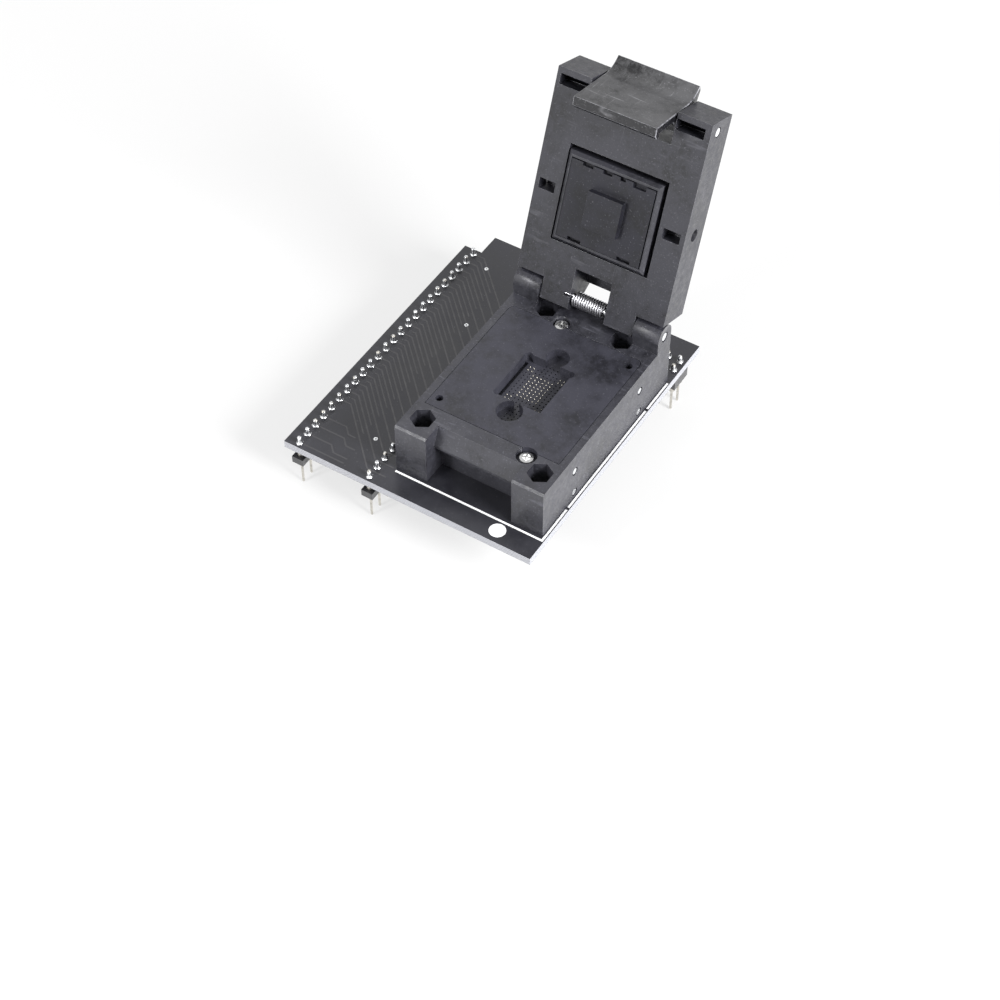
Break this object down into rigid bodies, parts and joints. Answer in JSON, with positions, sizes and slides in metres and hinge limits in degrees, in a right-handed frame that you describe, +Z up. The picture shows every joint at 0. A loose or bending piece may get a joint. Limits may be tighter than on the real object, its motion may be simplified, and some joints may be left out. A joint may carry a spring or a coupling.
{
  "type": "bga socket adapter",
  "caption": "Clamshell ball-grid test socket on a small board with two long rows of turned pins and a four-pin side header.",
  "frame": {"origin": "centre of the long two-row pin pattern, on the plane of the pin tips", "axes": "+X from the pin rows to the socket, +Y to the lid hinge, +Z up"},
  "size_m": [0.0524, 0.0687, 0.0654],
  "materials": {
    "solder_mask": "satin",
    "header_plastic": "matte",
    "socket_plastic": "matte",
    "turned_pin_tin": "polished",
    "probe_gold": "polished",
    "solder": "satin",
    "steel": "polished"
  },
  "bodies": {
    "board_and_base": {"circuit_board": "solder_mask", "left_header_strip": "header_plastic", "right_header_strip": "header_plastic", "left_header_pins": "turned_pin_tin", "right_header_pins": "turned_pin_tin", "side_header_strip": "header_plastic", "side_header_pins": "turned_pin_tin", "solder_joints": "solder", "socket_base": "socket_plastic", "contact_block": "socket_plastic", "block_pins": "steel", "guide_plate": "socket_plastic", "guide_screws": "steel", "mounting_nuts": "steel", "mounting_screws": "steel", "hinge_pin": "steel"},
    "lid": {"lid": "socket_plastic", "latch_pin": "steel", "latch_spring": "steel", "hinge_spring": "steel", "pressure_pin": "steel"},
    "latch": {"latch": "socket_plastic"},
    "presser": {"pressure_plate": "socket_plastic", "pressure_pad": "socket_plastic", "pressure_springs": "steel"},
    "probes": {"contact_probes": "probe_gold"}
  },
  "joints": [
    {"name": "lid_hinge", "type": "hinge", "parent": "board_and_base", "child": "lid", "pos_m": [0.02595, 0.01704, 0.02411], "axis": [1, 0, 0], "range_deg": [0, 110], "stiffness_Nm_per_rad": 0.004, "springref_deg": -28.65},
    {"name": "latch_pivot", "type": "hinge", "parent": "lid", "child": "latch", "pos_m": [0.02595, 0.03176, 0.06116], "axis": [1, 0, 0], "range_deg": [-20, 0], "stiffness_Nm_per_rad": 0.003, "springref_deg": 11.46},
    {"name": "plate_float", "type": "slide", "parent": "lid", "child": "presser", "axis": [0, 0.9397, -0.342], "range_m": [0, 0.0008], "stiffness_N_per_m": 2000, "springref_m": -0.0003},
    {"name": "probe_travel", "type": "slide", "parent": "board_and_base", "child": "probes", "axis": [0, 0, -1], "range_m": [0, 0.0003], "stiffness_N_per_m": 8000, "springref_m": -0.0001}
  ]
}
